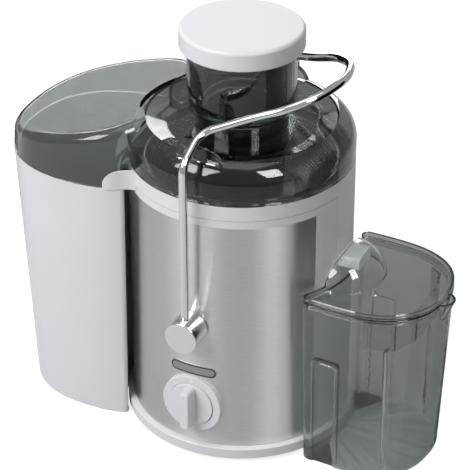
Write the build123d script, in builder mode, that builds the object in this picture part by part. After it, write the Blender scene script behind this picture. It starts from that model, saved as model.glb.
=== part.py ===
from build123d import *
import math
import os

# Centrifugal juicer. Millimetres, +Z up. The origin is on the floor, under the spindle.
# +X points to the juice jug, -X to the pulp container, and -Y is the front with the dial.

os.makedirs("parts", exist_ok=True)

# ---- driving dimensions -------------------------------------------------------------
WALL = 2.4
GAP = 0.35

FOOT_TOP = 4.0
BASE_R = 100.2
BASE_TOP = 14.0
BODY_R = 95.0
BODY_TOP = 235.8
PANEL_HALF_ANGLE = 69.9
STEEL_HALF_ANGLE = 64.7
STEEL_THICKNESS = 0.7
STEEL_BOTTOM = 14.6
STEEL_TOP = 229.0
BAND_TOP = 249.0

DECK_Z = 164.0
BOWL_FLOOR = 173.0
BOWL_R = 91.0
HUB_R = 18.0

BASKET_RIM_R = 80.5
BASKET_RIM_Z = 244.0
BASKET_BASE_R = 55.0
BASKET_BASE_Z = 207.0

CONTAINER_TOP = 232.0
CONTAINER_HALF_WIDTH = 84.0
CONTAINER_CENTRE_X = -112.0
CONTAINER_END_X = -203.0
CONTAINER_DRAFT = 10.0
RECESS_R = 102.0
OUTLINE_POWER = 2.35

LID_SHOULDER_R = 80.0
LID_SHOULDER_Z = 284.0
LOBE_SLOPE = 15.0
THROAT_R = 38.6
CHUTE_R = 45.3
CHUTE_TOP = 346.4
CAP_R = 51.6
CAP_TOP = 363.9

HINGE_Z = 131.0
ARM_Y = 108.5
ROD_R = 3.5
BOSS_R = 14.3
BOSS_FACE_Y = 117.6
ARM_KNEE_Z = 289.0
BOW_Z = 303.0
BOW_RISE = 0.355

DIAL_Z = 54.0
BEZEL_R = 27.0
KNOB_R = 20.0

JUG_TURN = -3.0
JUG_TOP = 159.0
JUG_HALF_WIDTH = 61.5
JUG_CENTRE_X = 118.0
JUG_END_X = 190.0
JUG_DRAFT = 7.0
SPOUT_HALF_WIDTH = 13.0

SHAFT_R = 4.0
MOTOR_R = 42.0


# ---- helpers ------------------------------------------------------------------------
def save(builder, name):
    builder.part.label = name
    export_step(builder.part, "parts/" + name + ".step")


def on_circle(radius, angle):
    return (radius * math.cos(math.radians(angle)), radius * math.sin(math.radians(angle)))


def oval_points(centre_x, reach_left, reach_right, half_width, count=20):
    """Points of a squared oval, blunter than an ellipse, round (centre_x, 0)."""
    points = []
    for step in range(count):
        angle = 2 * math.pi * step / count
        across = math.copysign(abs(math.cos(angle)) ** (2 / OUTLINE_POWER), math.cos(angle))
        along = math.copysign(abs(math.sin(angle)) ** (2 / OUTLINE_POWER), math.sin(angle))
        reach = reach_right if across > 0 else reach_left
        points.append((centre_x + reach * across, half_width * along))
    return points


def container_points(inset, draft):
    reach_left = CONTAINER_CENTRE_X - CONTAINER_END_X - inset - draft
    return oval_points(CONTAINER_CENTRE_X, reach_left, 76 - inset, CONTAINER_HALF_WIDTH - inset - draft)


def jug_points(inset, draft):
    reach_right = JUG_END_X - JUG_CENTRE_X - inset - draft
    return oval_points(JUG_CENTRE_X, 120 - inset, reach_right, JUG_HALF_WIDTH - inset - draft * 0.5)


def tapered(points_low, points_high, low, high, base=Plane.XY):
    """A closed solid that runs from one smooth outline to another one above it."""
    with BuildPart() as body:
        for points, height in ((points_low, low), (points_high, high)):
            with BuildSketch(base.offset(height)):
                with BuildLine():
                    Spline(*points, periodic=True)
                make_face()
        loft()
    return body.part


def upright_corners(builder, height=100):
    """The sharp full-height edges beside the recess that clears the round body."""
    tall = builder.edges().filter_by(lambda edge: edge.bounding_box().size.Z > height)
    return tall.filter_by(lambda edge: math.hypot(edge.center().X, edge.center().Y) < RECESS_R + 5)


def sector(inner, outer, low, high, start, end):
    """A slice of a round wall between two angles in degrees."""
    middle = (start + end) / 2
    with BuildPart() as body:
        with BuildSketch(Plane.XY.offset(low)):
            with BuildLine():
                Line(on_circle(inner, start), on_circle(outer, start))
                ThreePointArc(on_circle(outer, start), on_circle(outer, middle), on_circle(outer, end))
                Line(on_circle(outer, end), on_circle(inner, end))
                ThreePointArc(on_circle(inner, end), on_circle(inner, middle), on_circle(inner, start))
            make_face()
        extrude(amount=high - low)
    return body.part


def ring(inner, outer, low, high):
    with BuildPart() as body:
        with BuildSketch(Plane.XY.offset(low)):
            Circle(outer)
            Circle(inner, mode=Mode.SUBTRACT)
        extrude(amount=high - low)
    return body.part


def disc(radius, low, high):
    with BuildPart() as body:
        with BuildSketch(Plane.XY.offset(low)):
            Circle(radius)
        extrude(amount=high - low)
    return body.part


# ---- base: ring with floor plate, feet and screws ------------------------------------
FOOT_CIRCLE = 82.0
with BuildPart() as base_ring:
    with BuildSketch(Plane.XY.offset(FOOT_TOP)):
        Circle(BASE_R)
    extrude(amount=BASE_TOP - FOOT_TOP)
    chamfer(base_ring.edges().filter_by(GeomType.CIRCLE), 0.8)
    with BuildSketch(Plane.XY.offset(BASE_TOP - 7.5)):
        Circle(BODY_R - 4)
    extrude(amount=10, mode=Mode.SUBTRACT)
    with BuildSketch(Plane.XY):
        with PolarLocations(FOOT_CIRCLE, 4, 45):
            Circle(3.0)
        with PolarLocations(FOOT_CIRCLE, 4, 0):
            Circle(2.2)
        with PolarLocations(30, 8, 22.5):
            SlotCenterToCenter(14, 3)
    extrude(amount=BASE_TOP, mode=Mode.SUBTRACT)
save(base_ring, "base_ring")

with BuildPart() as rubber_feet:
    with BuildSketch(Plane.XY):
        with PolarLocations(FOOT_CIRCLE, 4, 45):
            Circle(8)
    extrude(amount=FOOT_TOP)
    with BuildSketch(Plane.XY.offset(FOOT_TOP)):
        with PolarLocations(FOOT_CIRCLE, 4, 45):
            Circle(2.9)
    extrude(amount=3.6)
save(rubber_feet, "rubber_feet")

with BuildPart() as base_screws:
    with BuildSketch(Plane.XY.offset(FOOT_TOP - 2.2)):
        with PolarLocations(FOOT_CIRCLE, 4, 0):
            Circle(3.6)
    extrude(amount=2.1)
    with BuildSketch(Plane.XY.offset(FOOT_TOP - 0.2)):
        with PolarLocations(FOOT_CIRCLE, 4, 0):
            Circle(2.0)
    extrude(amount=7)
save(base_screws, "base_screws")

# ---- housing: front panel, rear shell and brushed wrap -------------------------------
FRONT = -90
panel_start = FRONT - PANEL_HALF_ANGLE
panel_end = FRONT + PANEL_HALF_ANGLE
steel_start = FRONT - STEEL_HALF_ANGLE
steel_end = FRONT + STEEL_HALF_ANGLE
with BuildPart() as front_panel:
    add(sector(BODY_R - 3, BODY_R, BASE_TOP, BODY_TOP, panel_start + 0.05, panel_end - 0.05))
    add(
        sector(BODY_R - STEEL_THICKNESS, BODY_R + 2, STEEL_BOTTOM - 0.3, STEEL_TOP,
               steel_start, steel_end),
        mode=Mode.SUBTRACT,
    )
    with BuildSketch(Plane.XZ):
        with Locations((0, HINGE_Z)):
            Circle(6.0)
        with Locations((0, DIAL_Z)):
            Circle(8.0)
    extrude(amount=BODY_R + 5, mode=Mode.SUBTRACT)
save(front_panel, "front_panel")

with BuildPart() as steel_wrap:
    add(sector(BODY_R - STEEL_THICKNESS + 0.02, BODY_R + 0.02, STEEL_BOTTOM, STEEL_TOP - 0.05,
               steel_start + 0.1, steel_end - 0.1))
    with BuildSketch(Plane.XZ):
        with Locations((0, HINGE_Z)):
            Circle(6.0)
        with Locations((0, DIAL_Z)):
            Circle(8.0)
    extrude(amount=BODY_R + 5, mode=Mode.SUBTRACT)
save(steel_wrap, "steel_wrap")

NOTCH_HALF_WIDTH = 16.0
NOTCH_BOTTOM = 166.5
GLAND_Z = 34.0
with BuildPart() as rear_housing:
    add(sector(BODY_R - 3, BODY_R, BASE_TOP, BODY_TOP, panel_end, panel_start + 360))
    with BuildSketch(Plane.YZ):
        with Locations((0, (NOTCH_BOTTOM + BODY_TOP + 4) / 2)):
            Rectangle(2 * NOTCH_HALF_WIDTH, BODY_TOP + 4 - NOTCH_BOTTOM)
    extrude(amount=BODY_R + 5, mode=Mode.SUBTRACT)
    with BuildSketch(Plane.XZ):
        with Locations((0, HINGE_Z)):
            Circle(6.0)
        with Locations((60, GLAND_Z)):
            Circle(6.5)
        with GridLocations(6, 9, 7, 4):
            with Locations((0, 60)):
                SlotCenterToCenter(5, 2, rotation=90)
    extrude(amount=-(BODY_R + 5), mode=Mode.SUBTRACT)
save(rear_housing, "rear_housing")

with BuildPart() as housing_deck:
    add(disc(BODY_R - 3.1, DECK_Z, DECK_Z + 2.2))
    add(ring(BODY_R - 7, BODY_R - 3.1, DECK_Z - 8, DECK_Z))
    with BuildSketch(Plane.XY.offset(DECK_Z - 1)):
        Circle(13.5)
        with PolarLocations(36, 3, 30):
            Circle(2.1)
    extrude(amount=6, mode=Mode.SUBTRACT)
save(housing_deck, "housing_deck")

with BuildPart() as cord_gland:
    with BuildSketch(Plane.XZ.offset(-(BODY_R - 26))):
        with Locations((60, GLAND_Z)):
            Circle(6.3)
            Circle(3.2, mode=Mode.SUBTRACT)
    extrude(amount=-10)
save(cord_gland, "cord_gland")

# ---- motor ---------------------------------------------------------------------------
STATOR_LOW = 72.0
STATOR_HIGH = 112.0
with BuildPart() as motor_stator:
    add(ring(24.3, MOTOR_R - 2, STATOR_LOW, STATOR_HIGH))
save(motor_stator, "motor_stator")

with BuildPart() as field_coils:
    for middle in (0, 180):
        add(sector(25, 34, STATOR_LOW - 8, STATOR_LOW - 0.1, middle - 45, middle + 45))
        add(sector(25, 34, STATOR_HIGH + 0.1, STATOR_HIGH + 8, middle - 45, middle + 45))
save(field_coils, "field_coils")

with BuildPart() as lower_bracket:
    add(disc(MOTOR_R - 2, 36, 44))
    add(ring(MOTOR_R - 6, MOTOR_R - 2, 44, STATOR_LOW - 0.1))
    with BuildSketch(Plane.XY.offset(35)):
        Circle(9)
        with PolarLocations(24, 6, 0):
            SlotCenterToCenter(12, 7, rotation=90)
    extrude(amount=12, mode=Mode.SUBTRACT)
save(lower_bracket, "lower_bracket")

with BuildPart() as upper_bracket:
    add(disc(MOTOR_R, 126, 133))
    add(ring(MOTOR_R - 6, MOTOR_R - 2, STATOR_HIGH + 0.1, 126))
    with BuildSketch(Plane.XY.offset(125)):
        Circle(9)
        with PolarLocations(24, 6, 0):
            SlotCenterToCenter(12, 7, rotation=90)
        with PolarLocations(36, 3, 30):
            Circle(2.1)
    extrude(amount=12, mode=Mode.SUBTRACT)
save(upper_bracket, "upper_bracket")

with BuildPart() as shaft_bearings:
    add(ring(SHAFT_R + 0.04, 8.95, 37, 43))
    add(ring(SHAFT_R + 0.04, 8.95, 127, 132.5))
save(shaft_bearings, "shaft_bearings")

MOUNT_LOW = 133.1
with BuildPart() as motor_mounts:
    with BuildSketch(Plane.XY.offset(MOUNT_LOW)):
        with PolarLocations(36, 3, 30):
            Circle(5)
        with PolarLocations(36, 3, 30):
            Circle(2.2, mode=Mode.SUBTRACT)
    extrude(amount=DECK_Z - 0.1 - MOUNT_LOW)
save(motor_mounts, "motor_mounts")

with BuildPart() as motor_screws:
    with BuildSketch(Plane.XY.offset(126.5)):
        with PolarLocations(36, 3, 30):
            Circle(1.9)
    extrude(amount=DECK_Z + 2.3 - 126.5)
    with BuildSketch(Plane.XY.offset(DECK_Z + 2.25)):
        with PolarLocations(36, 3, 30):
            Circle(3.2)
    extrude(amount=1.2)
save(motor_screws, "motor_screws")

BRUSH_Z = 55.0
with BuildPart() as brush_holders:
    with BuildSketch(Plane.YZ.offset(12.5)):
        with Locations((0, BRUSH_Z)):
            Rectangle(10, 10)
            Rectangle(6.4, 6.4, mode=Mode.SUBTRACT)
    extrude(amount=20)
    mirror(about=Plane.YZ)
save(brush_holders, "brush_holders")

with BuildPart() as carbon_brushes:
    with BuildSketch(Plane.YZ.offset(11.2)):
        with Locations((0, BRUSH_Z)):
            Rectangle(6, 6)
    extrude(amount=15)
    mirror(about=Plane.YZ)
save(carbon_brushes, "carbon_brushes")

with BuildPart() as shaft_seal:
    add(ring(SHAFT_R + 0.06, 13.4, DECK_Z, DECK_Z + 5.5))
save(shaft_seal, "shaft_seal")

# ---- rotor: everything that spins ------------------------------------------------------
SHAFT_TOP = 196.0
with BuildPart() as motor_shaft:
    add(disc(SHAFT_R, 33, SHAFT_TOP))
save(motor_shaft, "motor_shaft")

with BuildPart() as armature_core:
    add(ring(SHAFT_R, 23.6, STATOR_LOW, STATOR_HIGH))
    with BuildSketch(Plane.XY.offset(STATOR_LOW - 1)):
        with PolarLocations(21, 12):
            SlotCenterToCenter(5, 2.2)
    extrude(amount=STATOR_HIGH - STATOR_LOW + 2, mode=Mode.SUBTRACT)
save(armature_core, "armature_core")

with BuildPart() as armature_windings:
    add(ring(6, 21, STATOR_LOW - 6, STATOR_LOW - 0.05))
    add(ring(6, 21, STATOR_HIGH + 0.05, STATOR_HIGH + 7))
save(armature_windings, "armature_windings")

with BuildPart() as commutator:
    add(ring(SHAFT_R, 11, BRUSH_Z - 7, BRUSH_Z + 7))
save(commutator, "commutator")

with BuildPart() as cooling_fan:
    add(ring(SHAFT_R, 9, 138, 150))
    add(ring(8, 30, 138, 139.6))
    with PolarLocations(0, 9):
        with Locations((18, 0, 144)):
            Box(22, 1.6, 9.5)
save(cooling_fan, "cooling_fan")

COUPLING_LOW = 178.0
with BuildPart() as drive_coupling:
    add(ring(SHAFT_R, 9, COUPLING_LOW, SHAFT_TOP))
    with BuildSketch(Plane.XY.offset(COUPLING_LOW + 6)):
        with PolarLocations(9.2, 6):
            Circle(1.7)
    extrude(amount=10)
save(drive_coupling, "drive_coupling")

with BuildPart() as basket_base:
    add(disc(53, BASKET_BASE_Z - 4, BASKET_BASE_Z))
    add(ring(9.3, 14, COUPLING_LOW + 3, BASKET_BASE_Z - 4))
    with BuildSketch(Plane.XY.offset(COUPLING_LOW + 2)):
        with PolarLocations(9.2, 6):
            Circle(1.9)
    extrude(amount=20, mode=Mode.SUBTRACT)
save(basket_base, "basket_base")

with BuildPart() as grater_disc:
    add(disc(BASKET_BASE_R - 4, BASKET_BASE_Z + 0.05, BASKET_BASE_Z + 1.2))
    for radius, count in ((14, 8), (24, 14), (34, 20), (44, 26)):
        with PolarLocations(radius, count, radius * 3):
            with Locations((0, 0, BASKET_BASE_Z + 1.9)):
                Box(1.1, 3.0, 1.6)
save(grater_disc, "grater_disc")

with BuildPart() as filter_basket:
    with BuildSketch(Plane.XZ):
        with BuildLine():
            Polyline(
                (BASKET_BASE_R - 3.8, BASKET_BASE_Z + 0.05),
                (BASKET_BASE_R, BASKET_BASE_Z + 0.05),
                (BASKET_RIM_R, BASKET_RIM_Z),
                (BASKET_RIM_R + 2.2, BASKET_RIM_Z),
                (BASKET_RIM_R + 2.2, BASKET_RIM_Z + 1.2),
                (BASKET_RIM_R - 0.8, BASKET_RIM_Z + 1.2),
                (BASKET_BASE_R - 1.0, BASKET_BASE_Z + 1.2),
                (BASKET_BASE_R - 3.8, BASKET_BASE_Z + 1.2),
                close=True,
            )
        make_face()
    revolve(axis=Axis.Z)
save(filter_basket, "filter_basket")

# ---- juice bowl with rim band, pulp lip, ears and spout --------------------------------
SPOUT_LOW = 167.2
SPOUT_HIGH = 178.0
SPOUT_END_X = 113.0
SPOUT_MIDDLE_Z = (SPOUT_LOW + SPOUT_HIGH) / 2
EAR_TOP_X = -77.0


def spout_block(start_x, end_x, shrink, corner):
    """A level square duct, filled, from one X to another."""
    with BuildPart() as body:
        with BuildSketch(Plane.YZ.offset(start_x)):
            with Locations((0, SPOUT_MIDDLE_Z)):
                RectangleRounded(
                    2 * (SPOUT_HALF_WIDTH - shrink), SPOUT_HIGH - SPOUT_LOW - 2 * shrink, corner
                )
        extrude(amount=end_x - start_x)
    return body.part


with BuildPart() as juice_spout:
    # A square duct with its mouth underneath at the far end.
    add(spout_block(BOWL_R - 3, SPOUT_END_X, 0, 3))
    add(spout_block(BOWL_R - 4, SPOUT_END_X - 2, 2, 0.5), mode=Mode.SUBTRACT)
    with BuildSketch(Plane.XY.offset(SPOUT_LOW - 1)):
        with Locations((SPOUT_END_X - 9, 0)):
            Rectangle(13, 2 * SPOUT_HALF_WIDTH - 4)
    extrude(amount=8, mode=Mode.SUBTRACT)
    add(disc(BODY_R + 0.05, SPOUT_LOW - 1, SPOUT_HIGH + 1), mode=Mode.SUBTRACT)
save(juice_spout, "juice_spout")

with BuildPart() as juice_bowl:
    with BuildSketch(Plane.XZ):
        with BuildLine():
            Polyline(
                (BOWL_R - WALL, BAND_TOP),
                (BODY_R, BAND_TOP),
                (BODY_R, BODY_TOP + 0.4),
                (BOWL_R, BODY_TOP + 0.4),
                (BOWL_R, BOWL_FLOOR + 2),
                (BOWL_R - 5, BOWL_FLOOR - 2.6),
                (HUB_R - WALL, BOWL_FLOOR - 2.6),
                (HUB_R - WALL, COUPLING_LOW + 2),
                (HUB_R, COUPLING_LOW + 2),
                (HUB_R, BOWL_FLOOR),
                (BOWL_R - 5, BOWL_FLOOR),
                (BOWL_R - WALL, BOWL_FLOOR + 3),
                close=True,
            )
        make_face()
    revolve(axis=Axis.Z)
    add(ring(78, 82, DECK_Z + 2.3, BOWL_FLOOR - 2.4))
    add(sector(BODY_R - 2, RECESS_R + 3, BAND_TOP - 4, BAND_TOP - 0.5, 145, 215))
    # The apron closes the notch that the spout passes through, flush with the shell.
    apron_half = math.degrees(math.asin((NOTCH_HALF_WIDTH - 0.4) / BODY_R))
    add(sector(BOWL_R - 1, BODY_R - 0.03, NOTCH_BOTTOM + 1, BODY_TOP + 1, -apron_half, apron_half))
    # The duct's opening through the wall and the apron; the spout carries on from here.
    add(spout_block(BOWL_R - 6, BODY_R + 1, 2, 0.5), mode=Mode.SUBTRACT)
    # Ears: the rim band runs on over the pulp container's two inner corners.
    with BuildSketch(Plane.XY.offset(CONTAINER_TOP + 0.5)):
        with BuildLine():
            Spline((-60.5, -72.6), (-69.0, -73.9), (-77.0, -78.6), (-88.0, -82.3))
            Line((-88.0, -82.3), (-88.0, -80.8))
            Spline((-88.0, -80.8), (-77.5, -76.6), (-70.0, -71.2), (-60.5, -69.6))
            Line((-60.5, -69.6), (-60.5, -72.6))
        make_face()
    ear = extrude(amount=BAND_TOP - CONTAINER_TOP - 0.5)
    mirror(ear, about=Plane.XZ)
    add(ring(BOWL_R + 0.2, BODY_R + GAP, CONTAINER_TOP, BODY_TOP + 0.4), mode=Mode.SUBTRACT)
    add(sector(BOWL_R - 1, BODY_R - 0.03, BODY_TOP - 5, BODY_TOP + 1, -apron_half, apron_half))
    with BuildSketch(Plane.XZ):
        with BuildLine():
            Line((EAR_TOP_X, BAND_TOP), (-90, BAND_TOP))
            Line((-90, BAND_TOP), (-90, CONTAINER_TOP + 2))
            Line((-90, CONTAINER_TOP + 2), (-88, CONTAINER_TOP + 2))
            ThreePointArc((-88, CONTAINER_TOP + 2), (-84.6, BAND_TOP - 4.2), (EAR_TOP_X, BAND_TOP))
        make_face()
    extrude(amount=90, both=True, mode=Mode.SUBTRACT)
save(juice_bowl, "juice_bowl")

# ---- pulp cover, and lid with its chute, dome and locking lugs --------------------------------------
LID_LOW = BAND_TOP + 0.2
LID_WALL = 2.3
FLOOR_Z = 277.0
SKIRT_Z = 258.0


def lobe(inset, rounding, low_z):
    """The pulp cover as a closed solid, with a top that slopes away from the dome."""
    reach_left = CONTAINER_CENTRE_X - CONTAINER_END_X - inset
    low = oval_points(CONTAINER_CENTRE_X, reach_left, 62 - inset, CONTAINER_HALF_WIDTH - 0.4 - inset)
    high = oval_points(CONTAINER_CENTRE_X, reach_left - 5, 59 - inset, CONTAINER_HALF_WIDTH - 3.6 - inset)
    tilt = math.radians(LOBE_SLOPE)
    slope = Plane(
        origin=(-LID_SHOULDER_R, 0, LID_SHOULDER_Z + 0.6 - inset),
        x_dir=(1, 0, 0),
        z_dir=(-math.sin(tilt), 0, math.cos(tilt)),
    )
    with BuildPart() as body:
        add(tapered(low, high, low_z, 300))
        split(bisect_by=slope, keep=Keep.BOTTOM)
        fillet(body.faces().sort_by(Axis.Z)[-1].edges(), rounding)
    return body.part


lobe_outer = lobe(0, 9, CONTAINER_TOP + 0.4)
lobe_inner = lobe(LID_WALL, 7, CONTAINER_TOP - 3)


def dome_space(grow):
    """The space that the dome fills, as a solid with its wall moved outwards by grow."""
    with BuildPart() as body:
        with BuildSketch(Plane.XZ):
            with BuildLine():
                Polyline(
                    (0, 220),
                    (BODY_R + 0.7, 220),
                    (BODY_R + 0.7, LID_LOW),
                    (BODY_R + grow, LID_LOW),
                    (BODY_R + grow, 263),
                )
                ThreePointArc(
                    (BODY_R + grow, 263),
                    (90.8 + 0.7 * grow, 276.8 + 0.7 * grow),
                    (LID_SHOULDER_R + grow, LID_SHOULDER_Z + grow),
                )
                Polyline((LID_SHOULDER_R + grow, LID_SHOULDER_Z + grow), (LID_SHOULDER_R + grow, 310))
                Polyline((LID_SHOULDER_R + grow, 310), (0, 310), (0, 220))
            make_face()
        revolve(axis=Axis.Z)
    return body.part


with BuildPart() as pulp_cover:
    add(lobe_outer)
    add(lobe_inner, mode=Mode.SUBTRACT)
    add(dome_space(0.1), mode=Mode.SUBTRACT)
save(pulp_cover, "pulp_cover")

with BuildPart() as lid:
    # Lugs: a stop on the pulp side, a notch for the rod and a ramp that the rod slides up.
    with BuildSketch(Plane.XZ.offset(80.5)):
        with BuildLine():
            Spline((-17, 270), (-16.5, 291), (-11, 300.5), (-4.4, 298.5))
            Polyline((-4.4, 298.5), (-4.4, 293.0), (4, 293.2))
            Spline((4, 293.2), (15, 290.5), (24, 270))
            Line((24, 270), (-17, 270))
        make_face()
    lug = extrude(amount=5)
    mirror(lug, about=Plane.XZ)
    add(dome_space(-0.8), mode=Mode.SUBTRACT)
    with BuildSketch(Plane.XZ):
        with BuildLine():
            Line((BODY_R, LID_LOW), (BODY_R, 263))
            ThreePointArc((BODY_R, 263), (90.8, 276.8), (LID_SHOULDER_R, LID_SHOULDER_Z))
            Polyline((LID_SHOULDER_R, LID_SHOULDER_Z), (62, FLOOR_Z), (THROAT_R, FLOOR_Z), (THROAT_R, 289))
            ThreePointArc((THROAT_R, 289), (43.2, 291.6), (CHUTE_R, 297))
            Polyline(
                (CHUTE_R, 297),
                (CHUTE_R, CHUTE_TOP),
                (CHUTE_R - LID_WALL, CHUTE_TOP),
                (CHUTE_R - LID_WALL, 297.6),
                (THROAT_R - LID_WALL, 291.2),
                (THROAT_R - LID_WALL, SKIRT_Z),
                (THROAT_R, SKIRT_Z),
                (THROAT_R, FLOOR_Z - LID_WALL),
                (62.4, FLOOR_Z - LID_WALL),
                (LID_SHOULDER_R - 0.8, LID_SHOULDER_Z - LID_WALL),
            )
            ThreePointArc(
                (LID_SHOULDER_R - 0.8, LID_SHOULDER_Z - LID_WALL),
                (89.1, 275.2),
                (BODY_R - LID_WALL, 262.6),
            )
            Polyline((BODY_R - LID_WALL, 262.6), (BODY_R - LID_WALL, LID_LOW), (BODY_R, LID_LOW))
        make_face()
    revolve(axis=Axis.Z)
    add(ring(86, BODY_R - LID_WALL + 0.1, LID_LOW, LID_LOW + 2))
    add(ring(86, 88.2, LID_LOW - 4, LID_LOW + 0.1))
    # The window that the pulp flies through, from the dome into the pulp cover.
    with BuildSketch(Plane.XY.offset(LID_LOW - 5)):
        with Locations((-90, 0)):
            Rectangle(24, 76)
    extrude(amount=28, mode=Mode.SUBTRACT)
save(lid, "lid")

# ---- pusher ------------------------------------------------------------------------------
CAP_LOW = CHUTE_TOP + 0.3
with BuildPart() as pusher_cap:
    add(disc(CAP_R, CAP_LOW, CAP_TOP))
    fillet(pusher_cap.edges().filter_by(GeomType.CIRCLE).sort_by(Axis.Z)[-1], 3.2)
    fillet(pusher_cap.edges().filter_by(GeomType.CIRCLE).sort_by(Axis.Z)[0], 1.6)
    with BuildSketch(Plane.XY.offset(CAP_LOW)):
        Circle(CAP_R - 2.6)
        Circle(CHUTE_R - LID_WALL - 0.4, mode=Mode.SUBTRACT)
    extrude(amount=12, mode=Mode.SUBTRACT)
save(pusher_cap, "pusher_cap")

PUSHER_R = THROAT_R - LID_WALL - 0.5
PUSHER_LOW = 216.0
with BuildPart() as pusher_body:
    with BuildSketch(Plane.XZ):
        with BuildLine():
            Polyline(
                (0, PUSHER_LOW),
                (PUSHER_R, PUSHER_LOW),
                (PUSHER_R, 292),
                (CHUTE_R - LID_WALL - 0.5, 299),
                (CHUTE_R - LID_WALL - 0.5, CAP_LOW - 0.1),
                (0, CAP_LOW - 0.1),
                close=True,
            )
        make_face()
    revolve(axis=Axis.Z)
    with BuildSketch(Plane.XY.offset(PUSHER_LOW + 3)):
        Circle(PUSHER_R - 3)
    extrude(amount=CAP_LOW - PUSHER_LOW - 6, mode=Mode.SUBTRACT)
save(pusher_body, "pusher_body")

# ---- locking arm, its bosses, bushes and safety plunger ------------------------------------
KNEE = (0, -ARM_Y, ARM_KNEE_Z)
ARM_START_Z = HINGE_Z + 7


def bow_point(x, y):
    """A point on the sloping plane that the bow of the rod lies in."""
    return (x, y, BOW_Z + BOW_RISE * x)


with BuildPart() as locking_arm:
    front_half = [
        (0, -ARM_Y, ARM_START_Z),
        KNEE,
        bow_point(0, -78),
        bow_point(39, -58),
        bow_point(62, -51.5),
        bow_point(83, -32),
    ]
    rear_half = [(x, -y, z) for x, y, z in reversed(front_half)]
    bend_radii = [14, 20, 100, 45, 45]
    bow_radii = bend_radii + [45] + bend_radii[::-1]
    with BuildLine() as rod_path:
        FilletPolyline(*front_half, bow_point(92.5, 0), *rear_half, radius=bow_radii)
    with BuildSketch(Plane(origin=(0, -ARM_Y, ARM_START_Z), z_dir=(0, 0, 1))):
        Circle(ROD_R)
    sweep(path=rod_path.line)
save(locking_arm, "locking_arm")

SPINDLE_R = 5.5
BOSS_BACK_Y = BODY_R + 0.7
CAM_OFFSET = 6.0
for side, name in ((1, "front_boss"), (-1, "rear_boss")):
    facing = Plane(origin=(0, 0, HINGE_Z), x_dir=(side, 0, 0), z_dir=(0, -side, 0))
    with BuildPart() as arm_boss:
        with BuildSketch(facing.offset(BOSS_BACK_Y)):
            Circle(BOSS_R)
        extrude(amount=BOSS_FACE_Y - BOSS_BACK_Y)
        fillet(arm_boss.edges().filter_by(GeomType.CIRCLE), 0.9)
        with BuildSketch(facing.offset(84)):
            Circle(SPINDLE_R)
        extrude(amount=BOSS_BACK_Y - 84 + 0.5)
        with BuildSketch(facing.offset(84)):
            Circle(SPINDLE_R)
            with Locations((0, -CAM_OFFSET)):
                Circle(3)
            Rectangle(6, 2 * CAM_OFFSET)
        extrude(amount=4)
        with BuildSketch(Plane(origin=(0, -side * ARM_Y, ARM_START_Z), z_dir=(0, 0, 1))):
            Circle(ROD_R + 0.02)
        extrude(amount=12, mode=Mode.SUBTRACT)
    save(arm_boss, name)

with BuildPart() as arm_bushes:
    for side in (1, -1):
        facing = Plane(origin=(0, 0, HINGE_Z), x_dir=(side, 0, 0), z_dir=(0, -side, 0))
        with BuildSketch(facing.offset(BODY_R - 6)):
            Circle(9)
            Circle(SPINDLE_R + 0.06, mode=Mode.SUBTRACT)
        extrude(amount=2.4)
        with BuildSketch(facing.offset(BODY_R - 3.7)):
            Circle(5.95)
            Circle(SPINDLE_R + 0.06, mode=Mode.SUBTRACT)
        extrude(amount=3.5)
save(arm_bushes, "arm_bushes")

PLUNGER_Y = 86.0
PLUNGER_TOP = HINGE_Z - CAM_OFFSET - 3.4
SWITCH_TOP = PLUNGER_TOP - 6
with BuildPart() as safety_plunger:
    with BuildSketch(Plane(origin=(0, -PLUNGER_Y, SWITCH_TOP - 12), z_dir=(0, 0, 1))):
        Circle(1.8)
    extrude(amount=PLUNGER_TOP - SWITCH_TOP + 12)
save(safety_plunger, "safety_plunger")

with BuildPart() as safety_switch:
    with BuildSketch(Plane(origin=(0, -PLUNGER_Y + 1, SWITCH_TOP - 20), z_dir=(0, 0, 1))):
        Rectangle(20, 9)
    extrude(amount=20)
    with BuildSketch(Plane(origin=(0, -PLUNGER_Y, SWITCH_TOP - 16), z_dir=(0, 0, 1))):
        Circle(1.86)
    extrude(amount=18, mode=Mode.SUBTRACT)
save(safety_switch, "safety_switch")

# ---- dial: bezel, knob, shaft and rotary switch ----------------------------------------------
dial_face = Plane(origin=(0, 0, DIAL_Z), x_dir=(1, 0, 0), z_dir=(0, -1, 0))
BEZEL_FACE = 98.8
BEZEL_FLOOR = 96.6
FIN_FACE = 113.0
with BuildPart() as dial_bezel:
    with BuildSketch(dial_face.offset(BODY_R - 6)):
        Circle(BEZEL_R)
    extrude(amount=BEZEL_FACE - BODY_R + 6)
    fillet(dial_bezel.edges().filter_by(GeomType.CIRCLE).sort_by(Axis.Y)[0], 1.0)
    with BuildSketch(dial_face.offset(BEZEL_FLOOR)):
        Circle(KNOB_R + 0.4)
    extrude(amount=5, mode=Mode.SUBTRACT)
    with BuildSketch(dial_face.offset(80)):
        Circle(3.6)
    extrude(amount=20, mode=Mode.SUBTRACT)
    add(disc(BODY_R + 0.04, 0, 120), mode=Mode.SUBTRACT)
save(dial_bezel, "dial_bezel")

with BuildPart() as dial_knob:
    with BuildSketch(dial_face.offset(BEZEL_FLOOR + GAP)):
        Circle(KNOB_R)
    extrude(amount=3.4)
    fillet(dial_knob.edges().filter_by(GeomType.CIRCLE).sort_by(Axis.Y)[0], 1.0)
    with BuildSketch(dial_face.offset(BEZEL_FLOOR + 1)):
        RectangleRounded(9.6, 2 * KNOB_R - 2.4, 3.6)
    fin = extrude(amount=FIN_FACE - BEZEL_FLOOR - 1, taper=2.5)
    fillet(dial_knob.faces().sort_by(Axis.Y)[0].edges(), 1.4)
    with BuildSketch(dial_face.offset(BEZEL_FLOOR)):
        Circle(3)
    extrude(amount=8, mode=Mode.SUBTRACT)
save(dial_knob, "dial_knob")

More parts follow.
